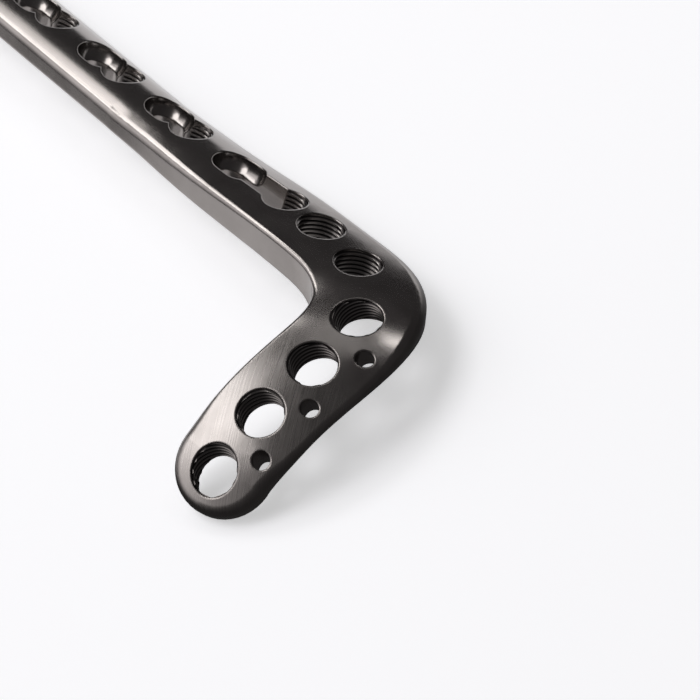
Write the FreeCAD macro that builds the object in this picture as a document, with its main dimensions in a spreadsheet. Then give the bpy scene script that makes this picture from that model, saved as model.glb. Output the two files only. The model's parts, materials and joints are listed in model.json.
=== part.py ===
import FreeCAD, Part
import math
import os

from FreeCAD import Placement, Rotation, Vector
from Sketcher import Constraint

# An orthopedic bone plate of titanium: a straight shaft with combination holes, a neck with
# two locking holes and a head with four, which turns aside and bends down round the bone.
# It is drawn along its row of holes. The shaft lies along Y, and the row starts at the upper
# neck hole, on the top surface. "Station" is the distance from there along the row, positive
# towards the head and negative along the shaft.

# name, value in mm or degrees, meaning
SIZES = (
    ("shaft_width", 10.2, "width of the shaft"),
    ("shaft_thickness", 3.7, "thickness of the shaft at its middle"),
    ("shaft_crown", 8.0, "radius of the shaft's crowned top"),
    ("neck_inner", 5.8, "hole row to the inner edge at the neck"),
    ("neck_outer", 5.3, "hole row to the outer edge at the neck"),
    ("corner_outer", 6.6, "hole row to the outer edge at the corner"),
    ("head_inner", 5.55, "hole row to the inner edge of the head"),
    ("head_outer", 6.3, "hole row to the outer edge of the head"),
    ("tip_outer", 5.7, "hole row to the outer edge at the tip"),
    ("head_thickness", 2.7, "thickness of the head"),
    ("tip_thickness", 2.4, "thickness of the head at its tip"),
    ("head_crown", 28.0, "radius of the head's crowned top"),
    ("under_hollow", 38.0, "radius of the hollow underside"),
    ("shaft_shoulder", 1.15, "rounding of the shaft's upper edges"),
    ("inner_shoulder", 0.45, "rounding of the inner upper edge, neck and head"),
    ("outer_shoulder", 1.6, "rounding of the outer upper edge, neck and corner"),
    ("head_shoulder", 0.75, "rounding of the head's outer upper edge"),
    ("tip_shoulder", 1.2, "rounding of the upper edge round the head's tip"),
    ("lower_edge", 0.3, "size of the chamfer along the lower edges"),
    ("neck_pitch", 7.6, "distance between the two neck holes"),
    ("corner_pitch", 9.55, "lower neck hole to the first head hole"),
    ("head_pitch", 7.65, "distance between the head holes"),
    ("tip_setback", 0.9, "middle of the rounded tip before the last head hole"),
    ("turn_angle", 88.0, "turn of the row from the shaft to the head"),
    ("turn_start", 0.4, "station where the turn starts"),
    ("turn_length", 26.4, "length of row over which it turns"),
    ("bend_radius", 34.8, "radius to which the head is bent down"),
    ("bend_start", 7.0, "station where the bend starts"),
    ("shaft_dip", 0.85, "shaft's top below the neck's"),
    ("dip_length", 20.0, "length of shaft over which it dips"),
    ("neck_twist", 5.6, "twist of the neck against the shaft"),
    ("twist_length", 32.0, "length of shaft over which it twists"),
    ("head_tilt", 13.0, "droop of the head towards its outer edge"),
    ("tilt_start", 8.0, "station where the droop starts"),
    ("tilt_length", 16.0, "length of row over which it droops"),
    ("wedge_fade", 7.0, "length of row before the tip over which the underside turns with the top"),
    ("hole_lean", 40.0, "lean of the head holes against the shaft's normal"),
    ("lock_radius", 2.7, "radius of the locking holes' wall, outside the thread"),
    ("combi_radius", 2.55, "radius of the combination holes' threaded end"),
    ("wire_radius", 1.0, "radius of the wire holes"),
    ("wire_offset", 3.6, "hole row to the wire holes"),
    ("combi_count", 6, "number of combination holes"),
    ("combi_pitch", 13.0, "distance between combination holes"),
    ("combi_start", 23.6, "upper neck hole to the first combination hole's threaded end"),
    ("combi_slot_start", 3.5, "threaded end to the near end of the smooth slot"),
    ("combi_slot_length", 1.2, "travel of a screw along the smooth slot"),
    ("seat_radius", 2.5, "radius of the rounded seat of the smooth slot"),
    ("seat_depth", 0.25, "middle of the seat below the top surface"),
    ("slot_radius", 1.78, "half the width of the slot through the plate"),
    ("long_start", 6.4, "upper neck hole to the long hole's threaded end"),
    ("long_slot_start", 7.3, "threaded end to the near end of the long hole's seat"),
    ("long_slot_length", 1.8, "travel of a screw along the long hole's seat"),
    ("end_margin", 6.3, "last slot's end to the middle of the rounded shaft end"),
)

doc = FreeCAD.newDocument("BonePlate")
sheet = doc.addObject("Spreadsheet::Sheet", "Sizes")
for row, (name, value, meaning) in enumerate(SIZES, start=1):
    sheet.set("A%d" % row, meaning)
    sheet.set("B%d" % row, str(value))
    sheet.setAlias("B%d" % row, name)
doc.recompute()


def size(name):
    return float(getattr(sheet, name))


# The hole row.

lower_neck = size("neck_pitch")
head_holes = [lower_neck + size("corner_pitch") + i * size("head_pitch") for i in range(4)]
tip_station = head_holes[-1] - size("tip_setback")
last_slot = (size("combi_start") + (size("combi_count") - 1) * size("combi_pitch")
             + size("combi_slot_start") + size("combi_slot_length"))
end_station = -(last_slot + size("end_margin"))
shaft_station = -size("twist_length")

WALK_STEP = 0.05
BEND_SOFTNESS = 1.5


def ease(t):
    """Smooth rise from 0 to 1."""
    t = min(max(t, 0.0), 1.0)
    return t * t * (3.0 - 2.0 * t)


def droop(station):
    """Share of the head's droop towards its outer edge."""
    return ease((station - size("tilt_start")) / size("tilt_length"))


def dip(station):
    """How far the row lies below the upper neck hole, along the shaft."""
    return size("shaft_dip") * ease(-station / size("dip_length"))


def directions(station):
    """Travel direction and surface normal of the plate at a station of the hole row."""
    turn = math.radians(size("turn_angle")) * ease((station - size("turn_start")) / size("turn_length"))
    twist = math.radians(size("neck_twist")) * ease(station / size("twist_length") + 1.0)
    past_bend = BEND_SOFTNESS * math.log1p(math.exp((station - size("bend_start")) / BEND_SOFTNESS))
    slope = twist + past_bend / size("bend_radius")
    tilt = math.radians(size("head_tilt")) * droop(station)
    normal = Vector(-math.sin(slope) * math.cos(tilt), -math.sin(tilt), math.cos(slope) * math.cos(tilt))
    aside = Vector(-math.cos(slope), 0, -math.sin(slope))
    ahead = normal.cross(aside)
    travel = ahead * math.cos(turn) + aside * math.sin(turn)
    climb = math.atan2(dip(station - WALK_STEP) - dip(station + WALK_STEP), 2 * WALK_STEP)
    pitch = Rotation(Vector(1, 0, 0), -math.degrees(climb))
    return pitch.multVec(travel), pitch.multVec(normal)


def row_point(station):
    """Place of a station on the hole row."""
    if station <= 0:
        return Vector(0, -station, -dip(station))
    steps = max(1, round(station / WALK_STEP))
    stride = station / steps
    point = Vector(0, 0, 0)
    for step in range(steps):
        travel, normal = directions((step + 0.5) * stride)
        point = point + travel * stride
    return point


def frame_at(station):
    """Placement with X to the outer side, Y up out of the surface and Z along the travel."""
    travel, normal = directions(station)
    return Placement(row_point(station), Rotation(normal.cross(travel), normal, travel, "ZXY"))


# An amount is a list of (share, size name) pairs, added up, so that a sketch can follow the sheet.
# A pair with no name is a plain number.

def value(amount):
    return sum(share * (size(name) if name else 1.0) for share, name in amount)


def formula(amount):
    return " + ".join("%.9f * Sizes.%s" % pair if pair[1] else "%.9f" % pair[0] for pair in amount)


def times(factor, amount):
    return [(factor * share, name) for share, name in amount]


# The cross-section.

def blend(station, points):
    """Amount at a station, eased between the (station, size name) points."""
    if station <= points[0][0]:
        return [(1.0, points[0][1])]
    for (s0, name0), (s1, name1) in zip(points, points[1:]):
        if station <= s1:
            risen = ease((station - s0) / (s1 - s0))
            return [(1.0 - risen, name0), (risen, name1)]
    return [(1.0, points[-1][1])]


def half_shaft(amount):
    """The amount, with the shaft's width counted by half."""
    return [(share * 0.5 if name == "shaft_width" else share, name) for share, name in amount]


def section_sizes(station):
    """Amounts that size the plate's cross-section at a station, and the angle of its underside."""
    neck = 0.0
    corner = lower_neck + size("corner_pitch") / 2
    first, second, third = head_holes[:3]
    turned = min(droop(station), ease((tip_station - station) / size("wedge_fade")))
    return {
        "inner": half_shaft(blend(station, ((shaft_station, "shaft_width"), (neck, "neck_inner"),
                                            (second, "head_inner")))),
        "outer": half_shaft(blend(station, ((shaft_station, "shaft_width"), (neck, "neck_outer"),
                                            (corner, "corner_outer"), (second, "head_outer"),
                                            (third, "head_outer"), (tip_station, "tip_outer")))),
        "thickness": blend(station, ((lower_neck, "shaft_thickness"), (second, "head_thickness"),
                                     (tip_station, "tip_thickness"))),
        "crown": blend(station, ((shaft_station, "shaft_crown"), (first, "head_crown"))),
        "inner_round": blend(station, ((shaft_station, "shaft_shoulder"), (neck, "inner_shoulder"),
                                       (third, "inner_shoulder"), (tip_station, "tip_shoulder"))),
        "outer_round": blend(station, ((shaft_station, "shaft_shoulder"), (neck, "outer_shoulder"),
                                       (corner, "outer_shoulder"), (second, "head_shoulder"),
                                       (third, "head_shoulder"), (tip_station, "tip_shoulder"))),
        "wedge": math.radians(size("head_tilt") * turned),
    }


def arc(centre, radius, start, end):
    return Part.ArcOfCircle(Part.Circle(centre, Vector(0, 0, 1), radius), start, end)


def line(x0, y0, x1, y1):
    return Part.LineSegment(Vector(x0, y0, 0), Vector(x1, y1, 0))


def upper_corner(side, middle, half, crown, radius):
    """Centre of the rounding between the crowned top and a side wall, and where it starts on the top."""
    reach = half - radius
    centre = Vector(middle + side * reach, math.sqrt((crown - radius) ** 2 - reach ** 2) - crown, 0)
    return centre, math.atan2(centre.y + crown, side * reach)


def lower_corner(x, under, hollow):
    """Height and angle at which the hollow underside passes a place across the plate."""
    rise = math.sqrt(hollow ** 2 - (x - under.x) ** 2)
    return under.y + rise, math.atan2(rise, x - under.x)


def section_edges(s):
    """Edges of the cross-section, from the crown clockwise seen along the travel."""
    inner, outer, crown = value(s["inner"]), value(s["outer"]), value(s["crown"])
    half, middle = (inner + outer) / 2, (outer - inner) / 2
    hollow, low = size("under_hollow"), size("lower_edge")
    right_radius, left_radius = value(s["outer_round"]), value(s["inner_round"])
    right_top, right_angle = upper_corner(1, middle, half, crown, right_radius)
    left_top, left_angle = upper_corner(-1, middle, half, crown, left_radius)
    under = Vector(hollow * math.sin(s["wedge"]), -value(s["thickness"]) - hollow * math.cos(s["wedge"]), 0)
    right_height, right_end = lower_corner(outer - low, under, hollow)
    left_height, left_end = lower_corner(low - inner, under, hollow)
    return [arc(Vector(middle, -crown, 0), crown, right_angle, left_angle),
            arc(left_top, left_radius, left_angle, math.pi),
            line(-inner, left_top.y, -inner, left_height + low),
            line(-inner, left_height + low, low - inner, left_height),
            arc(under, hollow, right_end, left_end),
            line(outer - low, right_height, outer, right_height + low),
            line(outer, right_height + low, outer, right_top.y),
            arc(right_top, right_radius, 0, right_angle)]


def half_section_edges(s):
    """Outer half of a cross-section about its own middle, closed along the middle."""
    half = (value(s["inner"]) + value(s["outer"])) / 2
    crown, thickness, radius = value(s["crown"]), value(s["thickness"]), value(s["outer_round"])
    hollow, low = size("under_hollow"), size("lower_edge")
    upper, angle = upper_corner(1, 0, half, crown, radius)
    under = Vector(0, -hollow - thickness, 0)
    height, end = lower_corner(half - low, under, hollow)
    quarter = math.pi / 2
    return [arc(Vector(0, -crown, 0), crown, angle, quarter),
            arc(upper, radius, 0, angle),
            line(half, upper.y, half, height + low),
            line(half, height + low, half - low, height),
            arc(under, hollow, end, quarter),
            line(0, -thickness, 0, 0)]


# Sketches. In a constraint an arc's or line's point 1 is its start, 2 its end and 3 its centre;
# ORIGIN is the sketch's own origin, and ACROSS and UP are its axes.

START, END, CENTRE = range(1, 4)
ACROSS, UP = -1, -2
ORIGIN = (-1, 1)


def join(sketch, smooth, sharp):
    """Join edges end to end: smooth joins are tangent."""
    for place in smooth:
        sketch.addConstraint(Constraint("Tangent", *place))
    for place in sharp:
        sketch.addConstraint(Constraint("Coincident", *place))


def dimension(sketch, kind, where, amount):
    """Dimension that follows the sheet."""
    index = sketch.addConstraint(Constraint(kind, *where, value(amount)))
    sketch.setExpression("Constraints[%d]" % index, formula(amount))


body = doc.addObject("PartDesign::Body", "bone_plate")
body.Label = "bone_plate"
doc.recompute()


def origin_plane(role):
    return next(o for o in body.Origin.OriginFeatures if o.Role == role)


def sketch_at(name, place):
    """Sketch whose own X, Y and normal are those of the placement."""
    sketch = body.newObject("Sketcher::SketchObject", name)
    sketch.AttachmentSupport = [(origin_plane("XY_Plane"), "")]
    sketch.MapMode = "FlatFace"
    sketch.AttachmentOffset = place
    return sketch


def section_sketch(name, station):
    s = section_sizes(station)
    sketch = sketch_at(name, frame_at(station))
    sketch.addGeometry(section_edges(s), False)
    top, left_round, left_wall, left_foot, under, right_foot, right_wall, right_round = range(8)
    join(sketch, smooth=((top, END, left_round, START), (left_round, END, left_wall, START),
                         (right_wall, END, right_round, START), (right_round, END, top, START)),
         sharp=((left_wall, END, left_foot, START), (left_foot, END, under, END),
                (under, START, right_foot, START), (right_foot, END, right_wall, START)))
    for wall in (left_wall, right_wall):
        sketch.addConstraint(Constraint("Vertical", wall))
    hollow, low = [(1.0, "under_hollow")], [(1.0, "lower_edge")]
    dimension(sketch, "Radius", (top,), s["crown"])
    dimension(sketch, "Radius", (left_round,), s["inner_round"])
    dimension(sketch, "Radius", (right_round,), s["outer_round"])
    dimension(sketch, "Radius", (under,), hollow)
    dimension(sketch, "DistanceX", (left_wall, START, *ORIGIN), s["inner"])
    dimension(sketch, "DistanceX", (*ORIGIN, right_wall, START), s["outer"])
    dimension(sketch, "DistanceX", (left_wall, START, top, CENTRE), times(0.5, s["inner"] + s["outer"]))
    dimension(sketch, "DistanceY", (top, CENTRE, *ORIGIN), s["crown"])
    dimension(sketch, "DistanceX", (*ORIGIN, under, CENTRE), times(math.sin(s["wedge"]), hollow))
    dimension(sketch, "DistanceY", (under, CENTRE, *ORIGIN),
              s["thickness"] + times(math.cos(s["wedge"]), hollow))
    dimension(sketch, "DistanceX", (left_foot, START, left_foot, END), low)
    dimension(sketch, "DistanceY", (left_foot, END, left_foot, START), low)
    dimension(sketch, "DistanceX", (right_foot, START, right_foot, END), low)
    dimension(sketch, "DistanceY", (right_foot, START, right_foot, END), low)
    return sketch


SECTION_STEP = 4.5

# The straight shaft, one section all along.
shaft_section = section_sketch("ShaftSection", shaft_station)
doc.recompute()
shaft = body.newObject("PartDesign::Pad", "Shaft")
shaft.Profile = shaft_section
shaft.Reversed = True
shaft.setExpression("Length", "Sizes.combi_start + (Sizes.combi_count - 1) * Sizes.combi_pitch"
                    " + Sizes.combi_slot_start + Sizes.combi_slot_length + Sizes.end_margin - Sizes.twist_length")
doc.recompute()

# The neck and head, lofted through sections at even steps along the hole row.
step_count = round((tip_station - shaft_station) / SECTION_STEP)
step = (tip_station - shaft_station) / step_count
sections = [section_sketch("Section%02d" % i, shaft_station + i * step) for i in range(step_count + 1)]
doc.recompute()
neck_and_head = body.newObject("PartDesign::AdditiveLoft", "NeckAndHead")
neck_and_head.Profile = sections[0]
neck_and_head.Sections = sections[1:]
doc.recompute()


# The rounded ends, the end section turned half round its own middle.

def rounded_end(name, station, towards_head):
    s = section_sizes(station)
    middle = (value(s["outer"]) - value(s["inner"])) / 2
    sketch = sketch_at(name + "Profile", frame_at(station) * Placement(Vector(middle, 0, 0), Rotation()))
    sketch.addGeometry(half_section_edges(s), False)
    top, shoulder, wall, foot, under, middle_line = range(6)
    join(sketch, smooth=((top, START, shoulder, END), (shoulder, START, wall, START)),
         sharp=((wall, END, foot, START), (foot, END, under, START),
                (under, END, middle_line, START), (middle_line, END, top, END)))
    sketch.addConstraint(Constraint("Vertical", wall))
    for edge, point in ((middle_line, START), (middle_line, END), (top, CENTRE), (under, CENTRE)):
        sketch.addConstraint(Constraint("PointOnObject", edge, point, UP))
    hollow, low = [(1.0, "under_hollow")], [(1.0, "lower_edge")]
    dimension(sketch, "Radius", (top,), s["crown"])
    dimension(sketch, "Radius", (shoulder,), s["outer_round"])
    dimension(sketch, "Radius", (under,), hollow)
    dimension(sketch, "DistanceX", (*ORIGIN, wall, START), times(0.5, s["inner"] + s["outer"]))
    dimension(sketch, "DistanceY", (top, CENTRE, *ORIGIN), s["crown"])
    dimension(sketch, "DistanceY", (under, CENTRE, *ORIGIN), s["thickness"] + hollow)
    dimension(sketch, "DistanceX", (foot, END, foot, START), low)
    dimension(sketch, "DistanceY", (foot, END, foot, START), low)
    doc.recompute()
    end = body.newObject("PartDesign::Revolution", name)
    end.Profile = sketch
    end.ReferenceAxis = (sketch, ["V_Axis"])
    end.Angle = 180
    end.Reversed = towards_head
    doc.recompute()
    return end


rounded_end("ShaftEnd", end_station, False)
rounded_end("HeadTip", tip_station, True)


# The holes.

TOOL_ROOM = 3.0


def turned_cut(name, sketch, axis):
    """Cut made by turning a profile about an axis of its sketch."""
    doc.recompute()
    cut = body.newObject("PartDesign::Groove", name)
    cut.Profile = sketch
    cut.ReferenceAxis = (sketch, [axis])
    cut.Angle = 360
    doc.recompute()
    return cut


def drilled(name, place, radius, thickness):
    """Round hole along the sketch's Y, through the plate from above."""
    depth = thickness + [(TOOL_ROOM, None)]
    wide, deep = size(radius), value(depth)
    sketch = sketch_at(name + "Profile", place)
    sketch.addGeometry([line(0, -deep, wide, -deep), line(wide, -deep, wide, TOOL_ROOM),
                        line(wide, TOOL_ROOM, 0, TOOL_ROOM), line(0, TOOL_ROOM, 0, -deep)], False)
    floor, wall, lid, middle_line = range(4)
    join(sketch, smooth=(), sharp=((floor, END, wall, START), (wall, END, lid, START),
                                   (lid, END, middle_line, START), (middle_line, END, floor, START)))
    for edge in (floor, lid):
        sketch.addConstraint(Constraint("Horizontal", edge))
    for edge in (wall, middle_line):
        sketch.addConstraint(Constraint("Vertical", edge))
    sketch.addConstraint(Constraint("PointOnObject", middle_line, START, UP))
    dimension(sketch, "DistanceX", (floor, START, floor, END), [(1.0, radius)])
    dimension(sketch, "DistanceY", (*ORIGIN, lid, START), [(TOOL_ROOM, None)])
    dimension(sketch, "DistanceY", (floor, START, *ORIGIN), depth)
    return turned_cut(name, sketch, "V_Axis")


def leaning(point):
    """Placement at a point with Y along the head holes' common axis."""
    lean = math.radians(size("hole_lean"))
    axis = Vector(-math.sin(lean), 0, math.cos(lean))
    return Placement(point, Rotation(Vector(math.cos(lean), 0, math.sin(lean)), axis, Vector(), "YXZ"))


neck_holes = (0.0, lower_neck)
for i, station in enumerate(neck_holes):
    drilled("NeckHole%d" % (i + 1), frame_at(station), "lock_radius", section_sizes(station)["thickness"])
for i, station in enumerate(head_holes):
    drilled("HeadHole%d" % (i + 1), leaning(row_point(station)), "lock_radius",
            section_sizes(station)["thickness"])
for i, (before, after) in enumerate(zip(head_holes, head_holes[1:])):
    station = (before + after) / 2
    point = frame_at(station).multVec(Vector(size("wire_offset"), 0, 0))
    drilled("WireHole%d" % (i + 1), leaning(point), "wire_radius", section_sizes(station)["thickness"])


def through_slot(name, near, far):
    """Slot along Y through the plate, between the centres of its rounded ends."""
    sketch = sketch_at(name + "Outline", Placement())
    radius, first, last = size("slot_radius"), value(near), value(far)
    sketch.addGeometry([arc(Vector(0, first, 0), radius, math.pi, 2 * math.pi),
                        line(radius, first, radius, last),
                        arc(Vector(0, last, 0), radius, 0, math.pi),
                        line(-radius, last, -radius, first)], False)
    near_end, right, far_end, left = range(4)
    join(sketch, smooth=((near_end, END, right, START), (right, END, far_end, START),
                         (far_end, END, left, START), (left, END, near_end, START)), sharp=())
    sketch.addConstraint(Constraint("Equal", near_end, far_end))
    for end, amount in ((near_end, near), (far_end, far)):
        sketch.addConstraint(Constraint("PointOnObject", end, CENTRE, UP))
        dimension(sketch, "DistanceY", (*ORIGIN, end, CENTRE), amount)
    dimension(sketch, "Radius", (near_end,), [(1.0, "slot_radius")])
    doc.recompute()
    slot = body.newObject("PartDesign::Pocket", name)
    slot.Profile = sketch
    slot.Type = "ThroughAll"
    slot.SideType = "Two sides"
    slot.Type2 = "ThroughAll"
    doc.recompute()
    return slot


def rounded_seat(name, near, far):
    """Trough along Y for a screw's round head: half outline of a rounded bar, turned about its length."""
    top = row_point(-value(near)).z
    sketch = sketch_at(name + "Profile", Placement(Vector(0, 0, top - size("seat_depth")),
                                                   Rotation(Vector(0, 1, 0), Vector(0, 0, 1), Vector(1, 0, 0))))
    radius, first, last = size("seat_radius"), value(near), value(far)
    quarter = math.pi / 2
    sketch.addGeometry([line(last + radius, 0, first - radius, 0),
                        arc(Vector(first, 0, 0), radius, quarter, 2 * quarter),
                        line(first, radius, last, radius),
                        arc(Vector(last, 0, 0), radius, 0, quarter)], False)
    length, near_end, side, far_end = range(4)
    join(sketch, smooth=((near_end, START, side, START), (side, END, far_end, END)),
         sharp=((length, END, near_end, END), (far_end, START, length, START)))
    sketch.addConstraint(Constraint("Equal", near_end, far_end))
    for edge, point in ((length, START), (length, END), (near_end, CENTRE), (far_end, CENTRE)):
        sketch.addConstraint(Constraint("PointOnObject", edge, point, ACROSS))
    dimension(sketch, "Radius", (near_end,), [(1.0, "seat_radius")])
    dimension(sketch, "DistanceX", (*ORIGIN, near_end, CENTRE), near)
    dimension(sketch, "DistanceX", (*ORIGIN, far_end, CENTRE), far)
    return turned_cut(name, sketch, "H_Axis")


def combination_hole(name, threaded, slot_near, seat_near, far):
    """Threaded hole joined to a slot with a rounded seat: amounts along Y, towards the shaft's end."""
    slot = through_slot(name + "Slot", slot_near, far)
    seat = rounded_seat(name + "Seat", seat_near, far)
    round_end = drilled(name + "Thread", Placement(row_point(-value(threaded)), Rotation(Vector(1, 0, 0), 90)),
                        "combi_radius", [(1.0, "shaft_thickness")])
    return [slot, seat, round_end]


thread = [(1.0, "combi_start")]
near = thread + [(1.0, "combi_slot_start")]
repeated = combination_hole("Combi", thread, near, near, near + [(1.0, "combi_slot_length")])
combis = body.newObject("PartDesign::LinearPattern", "CombiRow")
combis.Originals = repeated
combis.Direction = (origin_plane("Y_Axis"), [""])
combis.setExpression("Length", "(Sizes.combi_count - 1) * Sizes.combi_pitch")
combis.setExpression("Occurrences", "Sizes.combi_count")
body.Tip = combis
doc.recompute()

long_thread = [(1.0, "long_start")]
long_near = long_thread + [(1.0, "long_slot_start")]
combination_hole("Long", long_thread, long_thread, long_near, long_near + [(1.0, "long_slot_length")])
doc.recompute()


# At rest the plate lies on the lower outer edge of its shaft and on the tip of its head.

def lowest(points, turn, wanted):
    return min(turn.multVec(p).z for p in points if wanted(p))


def resting_roll(points):
    """Roll about the shaft at which its edge and the head's tip are equally low."""
    tip = row_point(tip_station)
    near, far = 0.0, 90.0
    for halving in range(30):
        roll = (near + far) / 2
        turn = Rotation(Vector(0, 1, 0), roll)
        head = lowest(points, turn, lambda p: p.x < tip.x / 2)
        edge = lowest(points, turn, lambda p: p.x > 0)
        if head < edge:
            near = roll
        else:
            far = roll
    return roll


points, triangles = body.Shape.tessellate(0.02)
roll = resting_roll(points)
turned = body.Shape.copy()
turned.Placement = Placement(Vector(), Rotation(Vector(0, 1, 0), roll)) * turned.Placement
points, triangles = turned.tessellate(0.02)
middle = Vector(*[(min(c) + max(c)) / 2 for c in zip(*[(p.x, p.y) for p in points])], 0)
body.Placement = Placement(Vector(0, 0, -min(p.z for p in points)) - middle, Rotation(Vector(0, 1, 0), roll))
doc.recompute()

shape = body.Shape
for o in doc.Objects:
    if "Invalid" in o.State or "Error" in o.State:
        raise RuntimeError("%s did not build" % o.Label)
    if o.isDerivedFrom("Sketcher::SketchObject") and not o.FullyConstrained:
        raise RuntimeError("%s is not fully constrained" % o.Label)
if shape.isNull() or not shape.isValid() or len(shape.Solids) != 1:
    raise RuntimeError("the plate is not one valid solid")

os.makedirs("parts", exist_ok=True)
shape.exportStep("parts/bone_plate.step")
print("volume", shape.Volume, "roll", roll, "place", body.Placement.Base)
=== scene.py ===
import json
import math

import bpy
import numpy as np
from mathutils import Matrix, Vector


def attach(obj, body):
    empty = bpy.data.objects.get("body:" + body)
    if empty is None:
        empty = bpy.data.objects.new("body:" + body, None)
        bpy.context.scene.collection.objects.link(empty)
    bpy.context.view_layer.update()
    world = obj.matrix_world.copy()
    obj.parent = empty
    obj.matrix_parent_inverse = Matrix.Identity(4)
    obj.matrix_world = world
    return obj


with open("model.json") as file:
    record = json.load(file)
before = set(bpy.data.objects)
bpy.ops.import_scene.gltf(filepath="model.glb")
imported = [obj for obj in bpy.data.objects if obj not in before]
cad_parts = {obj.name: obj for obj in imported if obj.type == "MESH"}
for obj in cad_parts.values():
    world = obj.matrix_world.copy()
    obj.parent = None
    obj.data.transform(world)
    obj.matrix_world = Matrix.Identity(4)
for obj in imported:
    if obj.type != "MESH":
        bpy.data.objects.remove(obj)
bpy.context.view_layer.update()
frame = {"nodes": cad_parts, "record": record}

# An orthopedic bone plate of dark titanium, lying on a pale floor.
# The plate itself is the CAD solid with a metal finish; the screw threads in its holes are
# modelled here. Lengths are in metres.

MM = 0.001
plate = frame["nodes"]["bone_plate"]
mounts = frame["record"]["mounts"]


# Metal finish.

TITANIUM = (0.3, 0.283, 0.275)
DULL_SHARES = (0.88, 0.86, 0.84)
BRIGHT_SHARES = (1.1, 1.08, 1.06)
# Painted shade: a near-black colour for the thread roots, standing in for the shade that falls
# in the grooves.
THREAD_ROOT_PAINTED_SHADE = (0.035, 0.032, 0.031, 1.0)

# Roughness where the cloud or the grain is low, and where it is high.
SHAFT_ROUGHNESS = (0.17, 0.21)
HEAD_ROUGHNESS = (0.25, 0.33)
THREAD_ROUGHNESS = (0.2, 0.28)

# Part of the noise that is used, because it seldom goes further.
NOISE_RANGE = (0.3, 0.7)
CLOUD_SCALE = 230.0

# The brushed finish starts and is complete at these places along X.
BRUSHED_FROM, BRUSHED_TO = 6.0 * MM, -4.0 * MM
BRUSH_WIDTH = 0.14 * MM
BRUSH_LENGTH = 6.0 * MM
BRUSH_ANGLE = math.radians(33.5)
BRUSH_DEPTH = 0.02 * MM
SHAFT_RELIEF, HEAD_RELIEF = 0.03, 0.22

EDGE_RADIUS = 0.3 * MM
EDGE_SAMPLES = 8
CREST_START = 0.35


def node(tree, kind, **inputs):
    """New shader node, with its input sockets set by name."""
    made = tree.nodes.new(kind)
    for name, value in inputs.items():
        made.inputs[name.replace("_", " ")].default_value = value
    return made


def brush_marks(tree, place):
    """Fine grain drawn out at an angle from the X axis."""
    mapping = node(tree, "ShaderNodeMapping", Scale=(BRUSH_LENGTH, BRUSH_WIDTH, BRUSH_LENGTH),
                   Rotation=(0.0, 0.0, BRUSH_ANGLE))
    mapping.vector_type = "TEXTURE"
    tree.links.new(place.outputs["Object"], mapping.inputs["Vector"])
    grain = node(tree, "ShaderNodeTexNoise", Scale=1.0, Detail=1.0, Roughness=0.6)
    tree.links.new(mapping.outputs["Vector"], grain.inputs["Vector"])
    return grain.outputs["Fac"]


def spread(tree, value, low, high, from_low, from_high):
    """Value mapped from one range to another, and kept within it."""
    made = node(tree, "ShaderNodeMapRange")
    made.inputs["From Min"].default_value = from_low
    made.inputs["From Max"].default_value = from_high
    made.inputs["To Min"].default_value = low
    made.inputs["To Max"].default_value = high
    tree.links.new(value, made.inputs["Value"])
    return made.outputs["Result"]


def eased(tree, value, start, end):
    """Smooth rise from 0 to 1 between two values."""
    made = node(tree, "ShaderNodeMapRange")
    made.interpolation_type = "SMOOTHSTEP"
    made.inputs["From Min"].default_value = start
    made.inputs["From Max"].default_value = end
    tree.links.new(value, made.inputs["Value"])
    return made.outputs["Result"]


def mixed(tree, factor, low, high):
    """Number between two others, each a value or a socket."""
    made = tree.nodes.new("ShaderNodeMix")
    tree.links.new(factor, made.inputs["Factor"])
    for socket, amount in ((made.inputs["A"], low), (made.inputs["B"], high)):
        if isinstance(amount, float):
            socket.default_value = amount
        else:
            tree.links.new(amount, socket)
    return made.outputs["Result"]


def worn_edges(tree):
    """Surface whose edges are finely rounded."""
    edges = tree.nodes.new("ShaderNodeBevel")
    edges.samples = EDGE_SAMPLES
    edges.inputs["Radius"].default_value = EDGE_RADIUS
    return edges.outputs["Normal"]


def tinted(tone, shares):
    """Tone with a share taken of each of its channels."""
    return (*(part * share for part, share in zip(tone, shares)), 1.0)


def titanium_tone(tree, cloud, tone):
    """Colour that wanders a little about the metal's tone."""
    colour = tree.nodes.new("ShaderNodeValToRGB")
    dull, bright = colour.color_ramp.elements
    dull.position, dull.color = NOISE_RANGE[0], tinted(tone, DULL_SHARES)
    bright.position, bright.color = NOISE_RANGE[1], tinted(tone, BRIGHT_SHARES)
    tree.links.new(cloud, colour.inputs["Fac"])
    return colour.outputs["Color"]


def new_metal(name):
    """Bare metal: its material, nodes, shader and coordinates, and a soft cloud of noise."""
    material = bpy.data.materials.new(name)
    material.use_nodes = True
    tree = material.node_tree
    shader = tree.nodes["Principled BSDF"]
    shader.inputs["Metallic"].default_value = 1.0
    place = tree.nodes.new("ShaderNodeTexCoord")
    cloud = node(tree, "ShaderNodeTexNoise", Scale=CLOUD_SCALE, Detail=4.0, Roughness=0.55)
    tree.links.new(place.outputs["Object"], cloud.inputs["Vector"])
    return material, tree, shader, place, cloud.outputs["Fac"]


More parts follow.
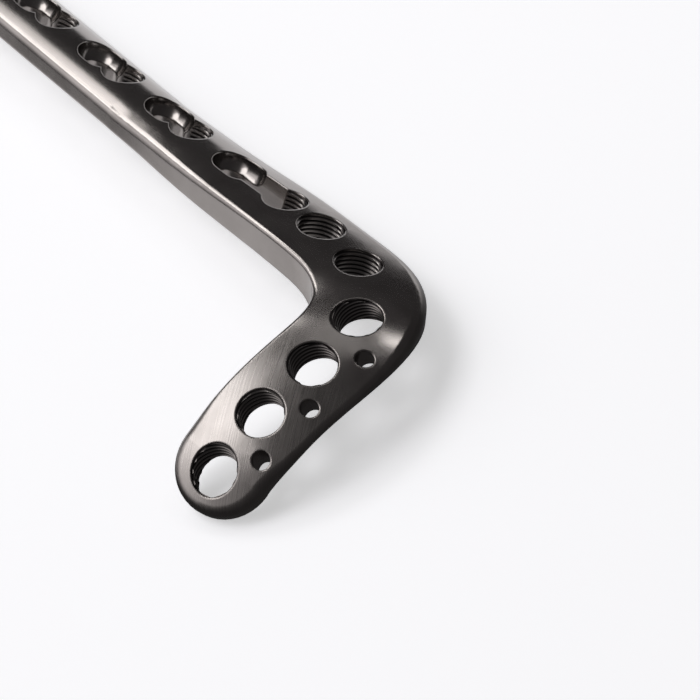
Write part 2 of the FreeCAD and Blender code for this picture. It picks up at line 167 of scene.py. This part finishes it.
def plate_titanium(tone, polished, brushed):
    """Titanium, polished on the shaft and brushed on the head: each a pair of roughnesses."""
    material, tree, shader, place, cloud = new_metal("plate titanium")
    tree.links.new(titanium_tone(tree, cloud, tone), shader.inputs["Base Color"])
    axes = tree.nodes.new("ShaderNodeSeparateXYZ")
    tree.links.new(place.outputs["Object"], axes.inputs["Vector"])
    on_head = eased(tree, axes.outputs["X"], BRUSHED_FROM, BRUSHED_TO)
    grain = brush_marks(tree, place)
    smooth = spread(tree, cloud, *polished, *NOISE_RANGE)
    rough = spread(tree, grain, *brushed, *NOISE_RANGE)
    tree.links.new(mixed(tree, on_head, smooth, rough), shader.inputs["Roughness"])
    bump = node(tree, "ShaderNodeBump", Distance=BRUSH_DEPTH)
    tree.links.new(mixed(tree, on_head, SHAFT_RELIEF, HEAD_RELIEF), bump.inputs["Strength"])
    tree.links.new(grain, bump.inputs["Height"])
    tree.links.new(worn_edges(tree), bump.inputs["Normal"])
    tree.links.new(bump.outputs["Normal"], shader.inputs["Normal"])
    return material


def thread_titanium(tone, finish):
    """Titanium of the threads, with painted shade dark down in the grooves and the plain tone
    along the crests.
    """
    material, tree, shader, place, cloud = new_metal("thread titanium")
    depth = tree.nodes.new("ShaderNodeAttribute")
    depth.attribute_name = "crest"
    crest = eased(tree, depth.outputs["Fac"], CREST_START, 1.0)
    # The colour sockets of this node share their names with its others, so they go by number.
    colour = tree.nodes.new("ShaderNodeMix")
    colour.data_type = "RGBA"
    tree.links.new(crest, colour.inputs["Factor"])
    # Painted shade: the grooves take the dark root colour, and the crests take the metal's tone.
    colour.inputs[6].default_value = THREAD_ROOT_PAINTED_SHADE
    tree.links.new(titanium_tone(tree, cloud, tone), colour.inputs[7])
    tree.links.new(colour.outputs[2], shader.inputs["Base Color"])
    tree.links.new(spread(tree, cloud, *finish, *NOISE_RANGE), shader.inputs["Roughness"])
    return material


plate_finish = plate_titanium(TITANIUM, SHAFT_ROUGHNESS, HEAD_ROUGHNESS)
thread_finish = thread_titanium(TITANIUM, THREAD_ROUGHNESS)
plate.data.materials.clear()
plate.data.materials.append(plate_finish)


# Screw threads.

THREAD_PITCH = 0.52 * MM
THREAD_HEIGHT = 0.22 * MM
THREAD_SINK = 0.06 * MM
STEPS_PER_TURN = 56

# Half the ridge's width in the wall and at its crest, as shares of the pitch.
WALL_SHARE, CREST_SHARE = 0.47, 0.08

# Bare wall left at the upper and the lower rim, and how far a thread goes towards a slot.
TOP_LAND = 0.22 * MM
LOW_LAND = 0.3 * MM
SLOT_REACH = 1.66 * MM

WALL_TOLERANCE = 0.03 * MM
RIM_SECTOR = 15
SLANT_ALLOWANCE = 1.5
BLOCK_MARGIN = 0.5 * MM
WELD_DISTANCE = 0.001 * MM
SMOOTH_ANGLE = math.radians(35)


def wall_limits(mount):
    """Place and radius of a hole, and its two rims as slanted planes: level and slopes."""
    centre = Vector(mount["pos_m"])
    axis = Vector(mount["axis"]).normalized()
    radius = mount["dims"]["r_mm"] * MM
    across = Vector((0.0, 1.0, 0.0)).cross(axis).normalized()
    aside = axis.cross(across)
    place = Matrix.Translation(centre) @ Matrix((across, aside, axis)).transposed().to_4x4()
    points = np.array([v.co for v in plate.data.vertices]) - np.array(centre)
    height = points @ np.array(axis)
    u, v = points @ np.array(across), points @ np.array(aside)
    on_wall = abs(np.hypot(u, v) - radius) < WALL_TOLERANCE
    on_wall &= abs(height) < mount["dims"]["length_mm"] * MM
    u, v, height = u[on_wall], v[on_wall], height[on_wall]
    sector = (np.degrees(np.arctan2(v, u)) // RIM_SECTOR).astype(int)
    planes = []
    for pick in (np.argmax, np.argmin):
        rim = [np.flatnonzero(sector == s)[pick(height[sector == s])]
               for s in sorted(set(sector))]
        fit = np.column_stack((np.ones(len(rim)), u[rim], v[rim]))
        planes.append(np.linalg.lstsq(fit, height[rim], rcond=None)[0])
    return place, radius, *planes


def deselect():
    """Nothing selected, and Blender in object mode."""
    if bpy.context.object and bpy.context.object.mode != "OBJECT":
        bpy.ops.object.mode_set(mode="OBJECT")
    bpy.ops.object.select_all(action="DESELECT")


def between_rims(place, radius, top, bottom, reach):
    """Block that fills a hole a little inside its rims; reach limits it towards a slot."""
    deselect()
    bpy.ops.mesh.primitive_cube_add(size=2 * (radius + BLOCK_MARGIN))
    block = bpy.context.object
    for corner in block.data.vertices:
        level, slope_u, slope_v = top if corner.co.z > 0 else bottom
        inset = -TOP_LAND if corner.co.z > 0 else LOW_LAND
        if corner.co.y > 0 and reach:
            corner.co.y = reach
        corner.co.z = level + slope_u * corner.co.x + slope_v * corner.co.y + inset
    block.data.transform(place)
    return block


def thread(name, mount, reach=None):
    """Helical ridge on the wall of a threaded hole, between its rims."""
    place, radius, top, bottom = wall_limits(mount)
    slant = radius * max(abs(v) for v in (*top[1:], *bottom[1:])) * SLANT_ALLOWANCE
    low = bottom[0] - slant - 2 * THREAD_PITCH
    turns = math.ceil((top[0] + slant + 2 * THREAD_PITCH - low) / THREAD_PITCH)

    deselect()
    bpy.ops.mesh.primitive_plane_add(size=THREAD_PITCH, location=(radius, 0, low),
                                     rotation=(math.pi / 2, 0, 0))
    ridge = bpy.context.object
    ridge.name = name
    bpy.ops.object.transform_apply(location=True, rotation=True, scale=True)
    for vertex in ridge.data.vertices:
        outer = vertex.co.x > radius
        side = 1.0 if vertex.co.z > low else -1.0
        vertex.co.x = radius + (THREAD_SINK if outer else -THREAD_HEIGHT)
        vertex.co.z = low + side * THREAD_PITCH * (WALL_SHARE if outer else CREST_SHARE)
    screw = ridge.modifiers.new("Screw", "SCREW")
    screw.axis = "Z"
    screw.angle = 2 * math.pi
    screw.screw_offset = THREAD_PITCH
    screw.iterations = turns
    screw.steps = screw.render_steps = STEPS_PER_TURN
    bpy.ops.object.modifier_apply(modifier=screw.name)
    bpy.ops.object.mode_set(mode="EDIT")
    bpy.ops.mesh.select_all(action="SELECT")
    bpy.ops.mesh.remove_doubles(threshold=WELD_DISTANCE)
    bpy.ops.mesh.fill_holes(sides=4)
    bpy.ops.mesh.normals_make_consistent(inside=False)
    bpy.ops.object.mode_set(mode="OBJECT")
    ridge.data.transform(place)

    block = between_rims(place, radius, top, bottom, reach)
    deselect()
    bpy.context.view_layer.objects.active = ridge
    cut = ridge.modifiers.new("Cut", "BOOLEAN")
    cut.operation = "INTERSECT"
    cut.solver = "EXACT"
    cut.object = block
    bpy.ops.object.modifier_apply(modifier=cut.name)
    bpy.data.objects.remove(block)
    to_hole = place.inverted()
    crest = ridge.data.attributes.new("crest", "FLOAT", "POINT")
    for vertex, height in zip(ridge.data.vertices, crest.data):
        height.value = (radius - (to_hole @ vertex.co).xy.length) / THREAD_HEIGHT
    ridge.data.materials.clear()
    ridge.data.materials.append(thread_finish)
    ridge.select_set(True)
    bpy.ops.object.shade_smooth_by_angle(angle=SMOOTH_ANGLE)
    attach(ridge, "root")


for mount in mounts:
    if mount["kind"] != "threaded_hole":
        continue
    slotted = "combination" in mount["name"] or "long" in mount["name"]
    thread_name = mount["name"].replace("hole_thread", "thread").replace("_hole_", "_thread_")
    thread(thread_name, mount, SLOT_REACH if slotted else None)


# Floor, light and camera.

WHITE = (1.0, 1.0, 1.0, 1.0)
FLOOR_SIZE = 3.0
FLOOR_PAPER = (0.84, 0.84, 0.86, 1.0)
FLOOR_WHITE = (1.84, 1.84, 1.9, 1.0)
FLOOR_GLOW = 0.5
DIM_FLOOR = (0.045, 0.044, 0.045, 1.0)

# Round this point, reflections see the floor as white out to the radius, and then it fades.
WHITE_CARD_MIDDLE = (0.03, 0.08, 0.0)
WHITE_CARD_RADIUS = 0.112
WHITE_CARD_FADE = 0.028

# Levels of the room from its dark side, at 0, to its pale side, at 1.
PALE_SIDE = (-0.55, 0.52, 0.65)
DARK_ROOM_TO = 0.5
DARK_ROOM = (0.055, 0.053, 0.055, 1.0)
ROOM_LEVELS = ((0.85, 0.08), (0.9, 0.16), (0.953, 0.7), (0.988, 1.3))
PALE_ROOM = (1.8, 1.77, 1.8, 1.0)

# Name, direction from the plate, distance, width, height and brightness.
LAMPS = (
    ("overhead_softbox", (-0.3, 0.4, 0.87), 0.7, 0.42, 0.3, 2.5),
    ("back_softbox", (0.12, 0.68, 0.72), 0.8, 0.5, 0.14, 4.0),
    ("side_softbox", (0.45, 0.3, 0.84), 0.8, 0.3, 0.3, 0.5),
    ("corner_lamp", (0.623, 0.045, 0.781), 0.714, 0.07, 0.07, 5.5),
)

# The turn is in degrees, the sensor and the lens in millimetres.
CAMERA_PLACE = (-0.16484, -0.41125, 0.42260)
CAMERA_TURN = (42.1298, 11.2219, -37.7876)
CAMERA_SENSOR = 36.0
CAMERA_LENS = 279.22
CAMERA_NEAR = 0.01


def largest(tree, first, *others):
    """Largest of several sockets."""
    for other in others:
        made = tree.nodes.new("ShaderNodeMath")
        made.operation = "MAXIMUM"
        tree.links.new(first, made.inputs[0])
        tree.links.new(other, made.inputs[1])
        first = made.outputs[0]
    return first


def mixed_shader(tree, factor, low, high):
    """Shader between two others."""
    made = tree.nodes.new("ShaderNodeMixShader")
    tree.links.new(factor, made.inputs["Fac"])
    tree.links.new(low, made.inputs[1])
    tree.links.new(high, made.inputs[2])
    return made.outputs[0]


def pale_floor():
    """Floor that is white to the camera; reflections see it white near the plate, dim beyond."""
    deselect()
    bpy.ops.mesh.primitive_plane_add(size=FLOOR_SIZE, location=(0, 0, 0))
    floor = bpy.context.object
    floor.name = "floor"
    material = bpy.data.materials.new("pale floor")
    material.use_nodes = True
    tree = material.node_tree
    tree.nodes.clear()
    paper = node(tree, "ShaderNodeBsdfDiffuse", Color=FLOOR_PAPER)
    shaded = node(tree, "ShaderNodeBsdfDiffuse", Color=FLOOR_WHITE)
    glow = node(tree, "ShaderNodeEmission", Color=WHITE, Strength=1.0)
    white = node(tree, "ShaderNodeMixShader", Fac=FLOOR_GLOW)
    tree.links.new(shaded.outputs[0], white.inputs[1])
    tree.links.new(glow.outputs[0], white.inputs[2])
    dim = node(tree, "ShaderNodeEmission", Color=DIM_FLOOR, Strength=1.0)
    rays = tree.nodes.new("ShaderNodeLightPath")
    seen = largest(tree, rays.outputs["Is Camera Ray"], rays.outputs["Is Glossy Ray"],
                   rays.outputs["Is Transmission Ray"])
    place = tree.nodes.new("ShaderNodeTexCoord")
    reach = tree.nodes.new("ShaderNodeVectorMath")
    reach.operation = "DISTANCE"
    reach.inputs[1].default_value = WHITE_CARD_MIDDLE
    tree.links.new(place.outputs["Object"], reach.inputs[0])
    beyond = eased(tree, reach.outputs["Value"], WHITE_CARD_RADIUS,
                   WHITE_CARD_RADIUS + WHITE_CARD_FADE)
    dimmed = tree.nodes.new("ShaderNodeMath")
    dimmed.operation = "MULTIPLY"
    tree.links.new(beyond, dimmed.inputs[0])
    tree.links.new(rays.outputs["Is Glossy Ray"], dimmed.inputs[1])
    near = mixed_shader(tree, seen, paper.outputs[0], white.outputs[0])
    out = tree.nodes.new("ShaderNodeOutputMaterial")
    tree.links.new(mixed_shader(tree, dimmed.outputs[0], near, dim.outputs[0]),
                   out.inputs["Surface"])
    floor.data.materials.append(material)


def studio_world():
    """Room that is white to the camera, but not in reflections: they see it dark, with a pale
    side to the left."""
    world = bpy.data.worlds.new("studio")
    bpy.context.scene.world = world
    world.use_nodes = True
    tree = world.node_tree
    tree.nodes.clear()
    place = tree.nodes.new("ShaderNodeTexCoord")
    lean = tree.nodes.new("ShaderNodeVectorMath")
    lean.operation = "DOT_PRODUCT"
    lean.inputs[1].default_value = PALE_SIDE
    tree.links.new(place.outputs["Generated"], lean.inputs[0])
    room = tree.nodes.new("ShaderNodeValToRGB")
    stops = room.color_ramp.elements
    stops[0].position, stops[0].color = DARK_ROOM_TO, DARK_ROOM
    stops[1].position, stops[1].color = 1.0, PALE_ROOM
    for position, level in ROOM_LEVELS:
        stops.new(position).color = (level, level * 0.98, level, 1.0)
    shift = spread(tree, lean.outputs["Value"], 0.0, 1.0, -1.0, 1.0)
    tree.links.new(shift, room.inputs["Fac"])
    dim = node(tree, "ShaderNodeBackground", Strength=1.0)
    tree.links.new(room.outputs["Color"], dim.inputs["Color"])
    white = node(tree, "ShaderNodeBackground", Color=WHITE, Strength=1.0)
    rays = tree.nodes.new("ShaderNodeLightPath")
    seen = largest(tree, rays.outputs["Is Camera Ray"], rays.outputs["Is Transmission Ray"])
    out = tree.nodes.new("ShaderNodeOutputWorld")
    tree.links.new(mixed_shader(tree, seen, dim.outputs[0], white.outputs[0]),
                   out.inputs["Surface"])


def softbox(name, direction, distance, width, height, strength):
    """Area light that looks at the plate from a direction; strength is its brightness."""
    bpy.ops.object.light_add(type="AREA")
    lamp = bpy.context.object
    lamp.name = name
    lamp.data.shape = "RECTANGLE"
    lamp.data.size = width
    lamp.data.size_y = height
    lamp.data.energy = strength * math.pi * width * height
    towards = Vector(direction).normalized()
    lamp.location = towards * distance
    lamp.rotation_euler = towards.to_track_quat("Z", "Y").to_euler()


pale_floor()
studio_world()
for lamp in LAMPS:
    softbox(*lamp)

bpy.ops.object.camera_add(location=CAMERA_PLACE,
                          rotation=[math.radians(a) for a in CAMERA_TURN])
camera = bpy.context.object
camera.name = "camera"
camera.data.sensor_width = CAMERA_SENSOR
camera.data.lens = CAMERA_LENS
camera.data.clip_start = CAMERA_NEAR
bpy.context.scene.camera = camera

bpy.context.scene.view_settings.view_transform = "Standard"
